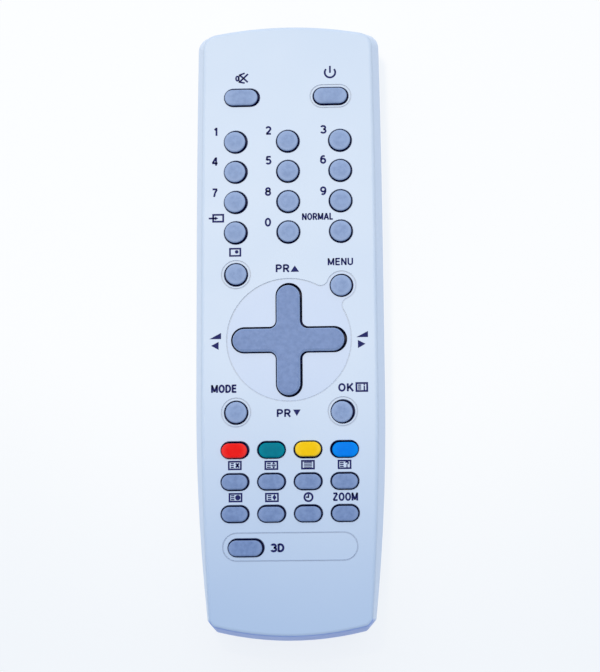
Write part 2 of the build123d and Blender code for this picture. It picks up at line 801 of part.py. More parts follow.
# Keypad mat: a silicone sheet with a hole under each key and a post under the ball
with BuildPart() as keypad_mat:
    extrude(board_outline(board_top, mat_margin), amount=mat_thickness)
    with BuildSketch(Plane.XY.offset(board_top)):
        with Locations(*stem_places, *cross_contact_places):
            Circle(stem_diameter / 2 + stem_hole_gap)
        with Locations(*board_screw_places):
            Circle(board_boss_diameter / 2 + hole_gap)
        with Locations(*case_screw_places):
            Circle(case_pillar_diameter / 2 + hole_gap)
    extrude(amount=mat_thickness, mode=Mode.SUBTRACT)
    with BuildSketch(Plane.XY.offset(board_top)):
        with Locations(cross_center):
            Circle(pivot_post_radius)
    extrude(amount=pivot_height - pivot_radius - pivot_post_gap - board_top)

finish(keypad_mat.part, "keypad_mat")

# Circuit board with holes for screws and pillars and slots for the terminal tabs
with BuildPart() as circuit_board:
    extrude(board_outline(board_bottom, 0), amount=board_thickness)
    with BuildSketch(Plane.XY.offset(board_bottom)):
        with Locations(*board_screw_places):
            Circle((board_screw_diameter + hole_gap) / 2)
        with Locations(*case_screw_places):
            Circle(case_pillar_diameter / 2 + hole_gap)
        with Locations(*tab_places):
            Rectangle(terminal_tab_width + 2 * slot_gap, terminal_thickness + 2 * slot_gap)
    extrude(amount=board_thickness, mode=Mode.SUBTRACT)

finish(circuit_board.part, "circuit_board")

# Printed contact pads under the key stems
with BuildPart() as contact_pads:
    with BuildSketch(Plane.XY.offset(board_top)):
        with Locations(*stem_places, *cross_contact_places):
            Circle(pad_diameter / 2)
    extrude(amount=pad_thickness)

finish(contact_pads.part, "contact_pads")

# Infrared diode: flange, body and round lens towards the window, with two bent leads
led_base = Plane(origin=(0, led_tip - led_body_length, led_axis), x_dir=(1, 0, 0), z_dir=(0, 1, 0))
with BuildPart() as ir_led:
    with BuildSketch(led_base):
        Circle(led_flange_diameter / 2)
    extrude(amount=led_flange_thickness)
    with BuildSketch(led_base):
        Circle(led_diameter / 2)
    extrude(amount=led_body_length - led_diameter / 2)
    with Locations((0, led_tip - led_diameter / 2, led_axis)):
        Sphere(led_diameter / 2)
    for side in (-1, 1):
        with Locations((side * led_lead_pitch / 2, led_base.origin.Y - led_lead_length / 2, led_axis)):
            Box(lead_diameter, led_lead_length, lead_diameter)
        with BuildSketch(Plane.XY.offset(led_axis)):
            with Locations((side * led_lead_pitch / 2, led_base.origin.Y - led_lead_length)):
                Rectangle(lead_diameter, lead_diameter)
        extrude(amount=board_bottom - led_axis)

finish(ir_led.part, "ir_led")

# Driver chip with two rows of legs
with BuildPart() as driver_chip:
    with BuildSketch(Plane.XY.offset(board_bottom - chip_standoff - chip_thickness)):
        with Locations(chip_place):
            Rectangle(chip_length, chip_width)
    extrude(amount=chip_thickness)
    fillet(driver_chip.edges().filter_by(Axis.Z), chip_corner_rounding)
    with BuildSketch(Plane.XY.offset(board_bottom - chip_standoff - chip_thickness)):
        with Locations((chip_place[0] - chip_length / 2 + chip_notch, chip_place[1])):
            Circle(chip_notch / 2)
    extrude(amount=chip_standoff, mode=Mode.SUBTRACT)
    for side in (-1, 1):
        leg_row = chip_place[1] + side * (chip_width / 2 + chip_leg_reach / 2)
        foot_row = chip_place[1] + side * (chip_width / 2 + chip_leg_reach - chip_leg_width / 2)
        with BuildSketch(Plane.XY.offset(board_bottom - chip_leg_height)):
            with Locations((chip_place[0], leg_row)):
                with GridLocations(chip_leg_pitch, 0, chip_leg_count, 1):
                    Rectangle(chip_leg_width, chip_leg_reach)
        extrude(amount=chip_leg_width / 2)
        with BuildSketch(Plane.XY.offset(board_bottom - chip_leg_height)):
            with Locations((chip_place[0], foot_row)):
                with GridLocations(chip_leg_pitch, 0, chip_leg_count, 1):
                    Rectangle(chip_leg_width, chip_leg_width)
        extrude(amount=chip_leg_height)

finish(driver_chip.part, "driver_chip")

# Ceramic resonator on two leads
with BuildPart() as ceramic_resonator:
    resonator_length, resonator_depth, resonator_drop = resonator_size
    with Locations((*resonator_place, board_bottom - lead_length - resonator_drop / 2)):
        Box(resonator_length, resonator_depth, resonator_drop)
    fillet(ceramic_resonator.edges(), resonator_rounding)
    with BuildSketch(Plane.XY.offset(board_bottom - lead_length - resonator_rounding)):
        with Locations(resonator_place):
            with GridLocations(resonator_lead_pitch, 0, 2, 1):
                Circle(lead_diameter / 2)
    extrude(amount=lead_length + resonator_rounding)

finish(ceramic_resonator.part, "ceramic_resonator")

# Electrolytic capacitor lying under the board, with a rolled neck and bent leads
capacitor_axis = board_bottom - capacitor_diameter / 2 - clearance
capacitor_base = Plane(origin=(*capacitor_place, capacitor_axis), x_dir=(1, 0, 0), z_dir=(0, 1, 0))
with BuildPart() as electrolytic_capacitor:
    with BuildSketch(capacitor_base):
        Circle(capacitor_diameter / 2)
    extrude(amount=capacitor_length)
    fillet(electrolytic_capacitor.edges().filter_by(GeomType.CIRCLE), capacitor_rounding)
    with BuildSketch(capacitor_base.offset(capacitor_neck_place)):
        Circle(capacitor_diameter)
        Circle(capacitor_diameter / 2 - capacitor_neck_depth, mode=Mode.SUBTRACT)
    extrude(amount=capacitor_neck_width, mode=Mode.SUBTRACT)
    for side in (-1, 1):
        lead_x = capacitor_place[0] + side * capacitor_lead_pitch / 2
        with Locations((lead_x, capacitor_place[1] - lead_length / 2, capacitor_axis)):
            Box(lead_diameter, lead_length + capacitor_rounding, lead_diameter)
        with BuildSketch(Plane.XY.offset(capacitor_axis)):
            with Locations((lead_x, capacitor_place[1] - lead_length)):
                Rectangle(lead_diameter, lead_diameter)
        extrude(amount=board_bottom - capacitor_axis)

finish(electrolytic_capacitor.part, "electrolytic_capacitor")

# Transistor that drives the diode: a round body with one flat side, on three leads
with BuildPart() as driver_transistor:
    with BuildSketch(Plane.XY.offset(board_bottom - lead_length - transistor_height)):
        with Locations(transistor_place):
            Circle(transistor_diameter / 2)
        flat_place = (transistor_place[0], transistor_place[1] - transistor_flat - transistor_diameter / 2)
        with Locations(flat_place):
            Rectangle(transistor_diameter, transistor_diameter, mode=Mode.SUBTRACT)
    extrude(amount=transistor_height)
    with BuildSketch(Plane.XY.offset(board_bottom - lead_length)):
        with Locations(transistor_place):
            with GridLocations(transistor_lead_pitch, 0, 3, 1):
                Circle(lead_diameter / 2)
    extrude(amount=lead_length)

finish(driver_transistor.part, "driver_transistor")

# Three resistors side by side, each a waisted body on one bent lead
resistor_axis = board_bottom - resistor_diameter / 2 - clearance
with BuildPart() as resistors:
    for x, y in resistor_places:
        across = Plane(origin=(x - resistor_length / 2, y, resistor_axis), x_dir=(0, 1, 0), z_dir=(1, 0, 0))
        with BuildSketch(across):
            Circle(resistor_diameter / 2 - resistor_waist)
        extrude(amount=resistor_length)
        for start in (0, resistor_length - resistor_cap):
            with BuildSketch(across.offset(start)):
                Circle(resistor_diameter / 2)
            extrude(amount=resistor_cap)
        with Locations((x, y, resistor_axis)):
            Box(resistor_span, lead_diameter, lead_diameter)
        with BuildSketch(Plane.XY.offset(resistor_axis)):
            with Locations((x - resistor_span / 2, y), (x + resistor_span / 2, y)):
                Rectangle(lead_diameter, lead_diameter)
        extrude(amount=board_bottom - resistor_axis)

finish(resistors.part, "resistors")

# Battery terminals at the front of the bay: flat plates with tabs up to the board
for name, x in (("positive_terminal", left_cell_x), ("negative_terminal", right_cell_x)):
    with BuildPart() as terminal:
        with Locations((x, bay_front - terminal_thickness / 2, cell_axis)):
            Box(terminal_width, terminal_thickness, terminal_height)
        with BuildSketch(Plane.XY.offset(cell_axis)):
            with Locations((x, bay_front - terminal_thickness / 2)):
                Rectangle(terminal_tab_width, terminal_thickness)
        extrude(amount=board_top - clearance - cell_axis)
        if x == left_cell_x:
            dimple_plane = Plane(origin=(x, bay_front - terminal_thickness, cell_axis), z_dir=(0, -1, 0))
            with BuildSketch(dimple_plane):
                Circle(terminal_dimple_diameter / 2)
            extrude(amount=terminal_dimple_height, taper=terminal_dimple_taper)
    finish(terminal.part, name)

# Bridge across both cells at the rear of the bay
with BuildPart() as bridge_terminal:
    with Locations((0, bay_rear + terminal_thickness / 2, cell_axis)):
        Box(cell_pitch + terminal_width, terminal_thickness, terminal_height)
    bridge_dimple = Plane(origin=(right_cell_x, bay_rear + terminal_thickness, cell_axis), z_dir=(0, 1, 0))
    with BuildSketch(bridge_dimple):
        Circle(terminal_dimple_diameter / 2)
    extrude(amount=terminal_dimple_height, taper=terminal_dimple_taper)

finish(bridge_terminal.part, "bridge_terminal")

# Battery springs: conical, wide end on the terminal and narrow end on the cell
spring_feet = (
    ("front_spring", right_cell_x, bay_front - terminal_thickness, -1),
    ("rear_spring", left_cell_x, bay_rear + terminal_thickness, 1),
)
for name, x, foot, toward in spring_feet:
    quarters = range(4 * spring_turns + 1)
    points = [spring_point(x, foot, toward, quarter / 4) for quarter in quarters]
    directions = [spring_direction(x, foot, toward, quarter / 4) for quarter in quarters]
    with BuildPart() as spring:
        with BuildLine() as spring_path:
            for quarter in range(4 * spring_turns):
                arc_pair(points[quarter], directions[quarter], points[quarter + 1], directions[quarter + 1])
        with BuildSketch(Plane(origin=points[0], z_dir=directions[0])):
            Circle(spring_wire / 2)
        sweep(path=spring_path.wires()[0])
    finish(spring.part, name)

turn_gaps = [
    (points[quarter + 4] - points[quarter]).length - spring_wire for quarter in range(4 * spring_turns - 3)
]
print(f"battery springs: least gap between turns {min(turn_gaps):.2f} mm")

# Battery cells: the left one points its nub to the infrared end, the right one to the tail
cell_feet = (
    ("battery_cell_left", left_cell_x, bay_rear + terminal_thickness + spring_length, 1),
    ("battery_cell_right", right_cell_x, bay_front - terminal_thickness - spring_length, -1),
)
for name, x, foot, toward in cell_feet:
    foot_plane = Plane(origin=(x, foot, cell_axis), z_dir=(0, toward, 0))
    with BuildPart() as cell:
        with BuildSketch(foot_plane):
            Circle(cell_diameter / 2)
        extrude(amount=cell_body_length)
        fillet(cell.edges().filter_by(GeomType.CIRCLE), cell_edge_rounding)
        with BuildSketch(foot_plane.offset(cell_body_length)):
            Circle(cell_nub_diameter / 2)
        extrude(amount=cell_nub_length)
    finish(cell.part, name)

# Screws: pan heads with a cross recess, from the back
screw_sets = (
    ("board_screws", board_screw_places, board_bottom, board_screw_diameter, board_screw_length,
     board_screw_head_diameter, board_screw_head_height),
    ("case_screws", case_screw_places, case_screw_head_seat, case_screw_diameter, case_screw_length,
     case_screw_head_diameter, case_screw_head_height),
)
for name, places, seat, diameter, length, head_diameter, head_height in screw_sets:
    with BuildPart() as screws:
        with BuildSketch(Plane.XY.offset(seat - head_height)):
            with Locations(*places):
                Circle(head_diameter / 2)
        extrude(amount=head_height)
        fillet(screws.edges().group_by(Axis.Z)[0], screw_head_rounding)
        with BuildSketch(Plane.XY.offset(seat)):
            with Locations(*places):
                Circle(diameter / 2)
        extrude(amount=length)
        with BuildSketch(Plane.XY.offset(seat - head_height)):
            with Locations(*places):
                Rectangle(head_diameter * screw_slot_share, screw_slot_width)
                Rectangle(screw_slot_width, head_diameter * screw_slot_share)
        extrude(amount=screw_slot_depth, mode=Mode.SUBTRACT)
    finish(screws.part, name)
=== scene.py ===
import bmesh
import bpy
import json
import math
from mathutils import Matrix, Vector


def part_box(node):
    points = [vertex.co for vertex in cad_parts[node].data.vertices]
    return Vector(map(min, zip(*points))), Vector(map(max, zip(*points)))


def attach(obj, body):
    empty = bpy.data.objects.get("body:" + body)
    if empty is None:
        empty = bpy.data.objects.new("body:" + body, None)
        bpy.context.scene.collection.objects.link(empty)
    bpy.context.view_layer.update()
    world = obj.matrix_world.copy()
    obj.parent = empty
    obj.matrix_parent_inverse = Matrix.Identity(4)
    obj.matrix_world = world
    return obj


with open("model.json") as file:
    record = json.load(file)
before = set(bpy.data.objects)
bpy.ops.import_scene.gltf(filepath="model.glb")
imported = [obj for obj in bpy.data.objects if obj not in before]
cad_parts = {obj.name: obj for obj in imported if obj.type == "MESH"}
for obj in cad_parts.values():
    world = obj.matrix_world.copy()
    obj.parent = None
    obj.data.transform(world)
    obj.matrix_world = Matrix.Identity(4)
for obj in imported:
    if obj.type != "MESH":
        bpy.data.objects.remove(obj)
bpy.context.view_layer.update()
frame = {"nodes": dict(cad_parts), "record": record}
nodes = frame["nodes"]

# A television remote control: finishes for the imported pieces, printed legends on the top face, and a studio
# with a light and a camera. Lengths are in metres, but the legends are drawn in millimetres.

MM = 0.001
top_face = 22.0 * MM
ink_thickness = 0.03 * MM
nub_height = 1.0 * MM
copper_length = 12.0 * MM
bare_steel_length = 0.35 * MM
copper_edge = 0.05 * MM
jacket_edge = 0.03 * MM

# Stretches that are painted apart, in Object coordinates: start, end and the softness of both ends
openings_across = (-23.5 * MM, 23.5 * MM, 0.2 * MM)
openings_along = (-74.0 * MM, 86.0 * MM, 0.2 * MM)
# Painted shade: the walls of the key openings are painted dark, standing in for the shade deep in the gaps
shaded_opening_walls = (18.5 * MM, 21.715 * MM, 0.04 * MM)
# Painted light: the flanks below the rim are painted paler, standing in for the light on the sides
lit_flanks_below_rim = (0.0, 20.7 * MM, 0.3 * MM)
# Painted shade: the tail below the rim is painted a darker blue, as it faces away from the lamp
tail_shade_along = (-200.0 * MM, -89.0 * MM, 0.5 * MM)
tail_shade_height = (0.0, 21.75 * MM, 0.1 * MM)
# Painted shade: the keys' skirts in their openings are painted dark, standing in for the shade in the gaps
key_skirt_shade = (0.0, 22.12 * MM, 0.1 * MM)
# Painted highlight: the keys' rounded rims are painted paler, standing in for the light that catches them
key_rim_highlight = (22.0 * MM, 22.70 * MM, 0.08 * MM)
board_core = (15.02 * MM, 16.58 * MM, 0.01 * MM)

# The openings' walls and two stretches of their chamfers are painted dark as shade in the key gaps; the
# recessed pad's face lies between the two chamfer stretches and is not painted dark
pad_face = (21.87 * MM, 21.89 * MM, 0.004 * MM)
shaded_chamfers = ((21.79 * MM, 21.862 * MM, 0.008 * MM), (21.898 * MM, 21.955 * MM, 0.008 * MM))

# Colours
case_color = (0.56, 0.67, 0.84)
# Painted light: the paler colour of the flanks
flank_light_color = (0.66, 0.77, 0.935)
pad_color = (0.54, 0.645, 0.83)
# Painted shade: the darker blue of the tail
tail_shade_color = (0.31, 0.435, 0.82)
# Painted shade: the near-black navy of the gaps round the keys
gap_shade_color = (0.002, 0.009, 0.13)
window_color = (0.03, 0.004, 0.008)
lacquer_color = (0.05, 0.14, 0.06)
jacket_color = (0.02, 0.025, 0.04)
copper_color = (0.55, 0.24, 0.10)
ink_color = (0.008, 0.012, 0.11)
floor_color = (0.20, 0.20, 0.20)

# Pairs of colours that a mottled surface wanders between
case_mottle = ((0.552, 0.663, 0.825), (0.582, 0.688, 0.838))
window_mottle = ((0.025, 0.003, 0.006), (0.04, 0.006, 0.012))
lacquer_mottle = ((0.03, 0.11, 0.05), (0.06, 0.17, 0.07))
paper_mottle = ((0.25, 0.15, 0.06), (0.36, 0.23, 0.10))
steel_mottle = ((0.45, 0.45, 0.44), (0.7, 0.7, 0.68))
ink_mottle = ((0.006, 0.009, 0.09), (0.012, 0.018, 0.14))
plain_mottle_share = 0.12
dull_metal_share = 0.8


# Finishes


def new_finish(name, color, roughness, **sockets):
    """A material on one Principled shader, with its plain values on the shader's own sockets."""
    finish = bpy.data.materials.new(name)
    finish.use_nodes = True
    shader = finish.node_tree.nodes["Principled BSDF"]
    shader.inputs["Base Color"].default_value = (*color, 1.0)
    shader.inputs["Roughness"].default_value = roughness
    for socket, value in sockets.items():
        shader.inputs[socket.replace("_", " ").title().replace("Ior", "IOR")].default_value = value
    return finish


def tools_of(finish):
    """A finish's nodes, links and shader."""
    tree = finish.node_tree
    return tree.nodes, tree.links, tree.nodes["Principled BSDF"]


def noise_on(finish, scale, detail=2.0, rough=0.5, stretch=(1.0, 1.0, 1.0)):
    """A noise in Object coordinates whose grains are 1 / scale metres wide."""
    makers, links, _ = tools_of(finish)
    coordinates = makers.new("ShaderNodeTexCoord")
    mapping = makers.new("ShaderNodeMapping")
    mapping.inputs["Scale"].default_value = stretch
    noise = makers.new("ShaderNodeTexNoise")
    noise.inputs["Scale"].default_value = scale
    noise.inputs["Detail"].default_value = detail
    noise.inputs["Roughness"].default_value = rough
    links.new(coordinates.outputs["Object"], mapping.inputs["Vector"])
    links.new(mapping.outputs["Vector"], noise.inputs["Vector"])
    return noise.outputs["Fac"]


def ramp_on(finish, source, colors, places=(0.3, 0.7)):
    """A ramp between two colours, with the places where the source reaches each."""
    makers, links, _ = tools_of(finish)
    ramp = makers.new("ShaderNodeValToRGB")
    for element, place, color in zip(ramp.color_ramp.elements, places, colors):
        element.position = place
        element.color = (*color, 1.0)
    links.new(source, ramp.inputs["Fac"])
    return ramp.outputs["Color"]


def axis_on(finish, axis):
    """One of the object coordinates, in metres."""
    makers, links, _ = tools_of(finish)
    coordinates = makers.new("ShaderNodeTexCoord")
    split = makers.new("ShaderNodeSeparateXYZ")
    links.new(coordinates.outputs["Object"], split.inputs["Vector"])
    return split.outputs[axis]


def product_on(finish, first, second):
    """Two values multiplied."""
    makers, links, _ = tools_of(finish)
    product = makers.new("ShaderNodeMath")
    product.operation = "MULTIPLY"
    links.new(first, product.inputs[0])
    links.new(second, product.inputs[1])
    return product.outputs["Value"]


def band_on(finish, source, low, high, soft):
    """1 where the source is between low and high, 0 outside, with soft edges."""
    makers, links, _ = tools_of(finish)
    sides = []
    for start, end in ((low - soft, low + soft), (high + soft, high - soft)):
        side = makers.new("ShaderNodeMapRange")
        side.inputs["From Min"].default_value = start
        side.inputs["From Max"].default_value = end
        links.new(source, side.inputs["Value"])
        sides.append(side.outputs["Result"])
    return product_on(finish, *sides)


def mix_on(finish, factor, first, second):
    """Goes from the first colour to the second by a node's output; each is a colour or an output."""
    makers, links, _ = tools_of(finish)
    mix = makers.new("ShaderNodeMix")
    mix.data_type = "RGBA"
    amount = [socket for socket in mix.inputs if socket.name == "Factor" and socket.type == "VALUE"][0]
    links.new(factor, amount)
    for name, color in (("A", first), ("B", second)):
        place = [socket for socket in mix.inputs if socket.name == name and socket.type == "RGBA"][0]
        if isinstance(color, bpy.types.NodeSocket):
            links.new(color, place)
        else:
            place.default_value = (*color, 1.0)
    return [socket for socket in mix.outputs if socket.type == "RGBA"][0]


def color_from(finish, source):
    """The finish's colour from another node's output."""
    _, links, shader = tools_of(finish)
    links.new(source, shader.inputs["Base Color"])


def roughness_from(finish, source, low, high):
    """Roughness between low and high as the source goes from 0 to 1."""
    makers, links, shader = tools_of(finish)
    spread = makers.new("ShaderNodeMapRange")
    spread.inputs["To Min"].default_value = low
    spread.inputs["To Max"].default_value = high
    links.new(source, spread.inputs["Value"])
    links.new(spread.outputs["Result"], shader.inputs["Roughness"])


def bump_from(finish, source, depth, strength):
    """Relief of the given depth in metres."""
    makers, links, shader = tools_of(finish)
    bump = makers.new("ShaderNodeBump")
    bump.inputs["Distance"].default_value = depth
    bump.inputs["Strength"].default_value = strength
    links.new(source, bump.inputs["Height"])
    links.new(bump.outputs["Normal"], shader.inputs["Normal"])


def case_finish():
    """Pale blue moulded plastic with a fine eroded grain, with painted shade dark round the keys and darker
    blue on the tail, and painted light paler on the flanks.
    """
    finish = new_finish("case_plastic", case_color, roughness=0.45, specular_ior_level=0.3)
    across, along, height = [axis_on(finish, axis) for axis in "XYZ"]
    shade = ramp_on(finish, noise_on(finish, scale=22.0, detail=3.0), case_mottle)
    shade = mix_on(finish, band_on(finish, height, *pad_face), shade, pad_color)
    # Painted light: the flanks are painted paler
    shade = mix_on(finish, band_on(finish, height, *lit_flanks_below_rim), shade, flank_light_color)
    # Painted shade: the tail is painted a darker blue
    behind = band_on(finish, along, *tail_shade_along)
    tail = product_on(finish, behind, band_on(finish, height, *tail_shade_height))
    shade = mix_on(finish, tail, shade, tail_shade_color)
    inner = band_on(finish, across, *openings_across)
    openings = product_on(finish, inner, band_on(finish, along, *openings_along))
    # Painted shade: the openings' walls and chamfers are painted dark as the shade in the gaps
    for shaded in (shaded_opening_walls, *shaded_chamfers):
        painted_shade = product_on(finish, openings, band_on(finish, height, *shaded))
        shade = mix_on(finish, painted_shade, shade, gap_shade_color)
    color_from(finish, shade)
    roughness_from(finish, noise_on(finish, scale=60.0, detail=4.0), low=0.40, high=0.52)
    bump_from(finish, noise_on(finish, scale=4200.0, rough=0.6), depth=0.012 * MM, strength=0.8)
    return finish


def key_finish(name, flat, edge, mottle, gloss):
    """Silicone rubber: a painted highlight on its rounded rim, mottled on top, and painted shade dark on the
    skirt in its opening.
    """
    finish = new_finish(name, flat, roughness=0.55, specular_ior_level=gloss)
    patches = noise_on(finish, scale=650.0, detail=4.0, rough=0.65)
    top = ramp_on(finish, patches, (flat, mottle), places=(0.36, 0.64))
    height = axis_on(finish, "Z")
    # Painted highlight: the rounded rim is painted paler
    rim = band_on(finish, height, *key_rim_highlight)
    # Painted shade: the skirt in the opening is painted dark
    skirt = band_on(finish, height, *key_skirt_shade)
    color_from(finish, mix_on(finish, skirt, mix_on(finish, rim, top, edge), gap_shade_color))
    roughness_from(finish, noise_on(finish, scale=900.0, detail=3.0), low=0.45, high=0.65)
    bump_from(finish, noise_on(finish, scale=6000.0), depth=0.006 * MM, strength=0.6)
    return finish


def window_finish():
    """Polished dark red plastic, as in front of an infrared diode, with faint hairlines."""
    finish = new_finish(
        "infrared_window", window_color, roughness=0.08, coat_weight=0.4, coat_roughness=0.05
    )
    hair = noise_on(finish, scale=300.0, detail=6.0, stretch=(1.0, 8.0, 1.0))
    roughness_from(finish, hair, low=0.05, high=0.16)
    color_from(finish, ramp_on(finish, hair, window_mottle, places=(0.2, 0.8)))
    return finish


def metal_finish(name, color, rough, streak):
    """Plated or drawn metal with fine streaks."""
    finish = new_finish(name, color, rough, metallic=1.0)
    streaks = noise_on(finish, scale=1500.0, detail=4.0, stretch=streak)
    dull = tuple(channel * dull_metal_share for channel in color)
    color_from(finish, ramp_on(finish, streaks, (dull, color)))
    roughness_from(finish, streaks, low=rough - 0.08, high=rough + 0.12)
    bump_from(finish, streaks, depth=0.004 * MM, strength=0.5)
    return finish


def plain_finish(name, color, rough, grain, depth, coat=0.0):
    """A moulded or coated surface with a mottled colour and a fine grain."""
    finish = new_finish(name, color, rough, coat_weight=coat)
    patches = noise_on(finish, grain / 6, detail=4.0)
    dark = tuple(channel * (1 - plain_mottle_share) for channel in color)
    light = tuple(min(1.0, channel * (1 + plain_mottle_share)) for channel in color)
    color_from(finish, ramp_on(finish, patches, (dark, light)))
    roughness_from(finish, patches, low=rough - 0.06, high=rough + 0.06)
    bump_from(finish, noise_on(finish, grain, detail=3.0), depth, strength=0.6)
    return finish


def board_finish():
    """Brown paper laminate with a faint fibre pattern, under a green lacquer on both faces."""
    finish = new_finish("board_laminate", lacquer_color, roughness=0.4)
    fibre = noise_on(finish, scale=500.0, detail=5.0, stretch=(1.0, 5.0, 1.0))
    lacquer = ramp_on(finish, fibre, lacquer_mottle)
    paper = ramp_on(finish, fibre, paper_mottle)
    core = band_on(finish, axis_on(finish, "Z"), *board_core)
    color_from(finish, mix_on(finish, core, lacquer, paper))
    bump_from(finish, fibre, depth=0.02 * MM, strength=0.4)
    return finish


def cell_finish(name, nub_end, foot_end, toward):
    """A cell's printed jacket: dark with a coppery band at the nub end, and bare steel at both ends."""
    finish = new_finish(name, jacket_color, roughness=0.25, coat_weight=0.3, coat_roughness=0.1)
    makers, links, shader = tools_of(finish)
    along = axis_on(finish, "Y")
    shoulder = nub_end - toward * copper_length
    copper = band_on(finish, along, *sorted((nub_end, shoulder)), copper_edge)
    jacket = mix_on(finish, copper, jacket_color, copper_color)
    jacket_start = foot_end + toward * bare_steel_length
    jacket_end = nub_end - toward * bare_steel_length
    inside = band_on(finish, along, *sorted((jacket_start, jacket_end)), jacket_edge)
    scuffs = noise_on(finish, scale=700.0, detail=4.0)
    color_from(finish, mix_on(finish, inside, ramp_on(finish, scuffs, steel_mottle), jacket))
    bare = makers.new("ShaderNodeMath")
    bare.operation = "SUBTRACT"
    bare.inputs[0].default_value = 1.0
    links.new(inside, bare.inputs[1])
    links.new(bare.outputs["Value"], shader.inputs["Metallic"])
    roughness_from(finish, scuffs, low=0.2, high=0.34)
    bump_from(finish, scuffs, depth=0.01 * MM, strength=0.3)
    return finish


def ink_finish():
    """Pad-printed dark blue ink, a little worn."""
    finish = new_finish("legend_ink", ink_color, roughness=0.6, specular_ior_level=0.15)
    wear = noise_on(finish, scale=2500.0, detail=4.0)
    color_from(finish, ramp_on(finish, wear, ink_mottle, places=(0.3, 0.75)))
    return finish


# Rubbers: colours of the flat top, the painted highlight on the rounded rim and the mottle, and the gloss
rubbers = {
    "key_silicone": ((0.210, 0.300, 0.515), (0.30, 0.405, 0.635), (0.26, 0.365, 0.60), 0.2),
    "oval_key_silicone": ((0.168, 0.250, 0.460), (0.255, 0.350, 0.575), (0.225, 0.320, 0.550), 0.2),
    "cross_key_silicone": ((0.160, 0.240, 0.455), (0.28, 0.38, 0.61), (0.195, 0.285, 0.525), 0.2),
    "red_key_silicone": ((0.84, 0.004, 0.004), (0.90, 0.04, 0.035), (0.87, 0.008, 0.006), 0.1),
    "green_key_silicone": ((0.0, 0.175, 0.25), (0.0, 0.24, 0.32), (0.0, 0.20, 0.275), 0.05),
    "yellow_key_silicone": ((0.90, 0.55, 0.0), (0.95, 0.63, 0.03), (0.92, 0.58, 0.001), 0.1),
    "blue_key_silicone": ((0.0, 0.195, 0.80), (0.0, 0.26, 0.86), (0.0, 0.215, 0.83), 0.05),
}
# Plain surfaces: colour, roughness, grains to a metre and their depth, and a coat where there is one
plain_surfaces = {
    # Painted shade: the mat is near-black navy, standing in for the shade deep in the key gaps; the real mat
    # is the keys' blue-grey
    "mat_silicone": ((0.004, 0.012, 0.10), 0.6, 3000.0, 0.01 * MM),
    "carbon_ink": ((0.02, 0.02, 0.022), 0.7, 5000.0, 0.01 * MM),
    "diode_resin": ((0.35, 0.45, 0.70), 0.12, 900.0, 0.002 * MM, 0.5),
    "chip_resin": ((0.018, 0.018, 0.02), 0.5, 5000.0, 0.015 * MM),
    "ceramic": ((0.60, 0.22, 0.03), 0.3, 1500.0, 0.03 * MM, 0.3),
    "capacitor_sleeve": ((0.012, 0.02, 0.06), 0.25, 1200.0, 0.005 * MM),
    "resistor_lacquer": ((0.62, 0.47, 0.27), 0.35, 1500.0, 0.02 * MM),
}
# Metals: colour, roughness and how the streaks are stretched
metals = {
    "terminal_steel": ((0.72, 0.71, 0.68), 0.28, (1.0, 1.0, 12.0)),
    "spring_steel": ((0.66, 0.65, 0.63), 0.3, (4.0, 1.0, 4.0)),
    "screw_steel": ((0.45, 0.45, 0.46), 0.35, (1.0, 1.0, 6.0)),
}
finishes = {
    "case_plastic": case_finish(),
    "board_laminate": board_finish(),
    "infrared_window": window_finish(),
}
for name, rubber in rubbers.items():
    finishes[name] = key_finish(name, *rubber)
for name, surface in plain_surfaces.items():
    finishes[name] = plain_finish(name, *surface)
for name, metal in metals.items():
    finishes[name] = metal_finish(name, *metal)

# The way that each cell's nub points along Y
nub_ways = {"battery_cell_left": 1, "battery_cell_right": -1}
oval_keys = ("text", "zoom", "clock", "3d")
for part in frame["record"]["subparts"]:
    name = part["node"]
    if name in nub_ways:
        toward = nub_ways[name]
        low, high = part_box(name)
        foot_end, nub_top = (low.y, high.y) if toward == 1 else (high.y, low.y)
        worn = cell_finish(name + "_jacket", nub_top - toward * nub_height, foot_end, toward)
    elif name.startswith("key_") and any(word in name for word in oval_keys):
        worn = finishes["oval_key_silicone"]
    else:
        worn = finishes[part["material_slot"]]
    for place in nodes[name].material_slots:
        place.material = worn


# Printed legends on the top face

ink = ink_finish()

letter_height = 10.0
letter_gap = 1.3
digit_height = 2.6
digit_pen = 0.58
arc_steps_apart = 9
disc_sides = 28

# The outline and the lines of the small pages over the text keys
page_width = 4.08
page_height = 2.77
page_pen = 0.50
page_rows = (0.58, 0.0, -0.58)
row_pen = 0.36
full_page_height = 2.83
full_page_rows = (0.72, 0.18, -0.36, -0.9)
full_page_row_length = 2.4
full_page_row_pen = 0.32

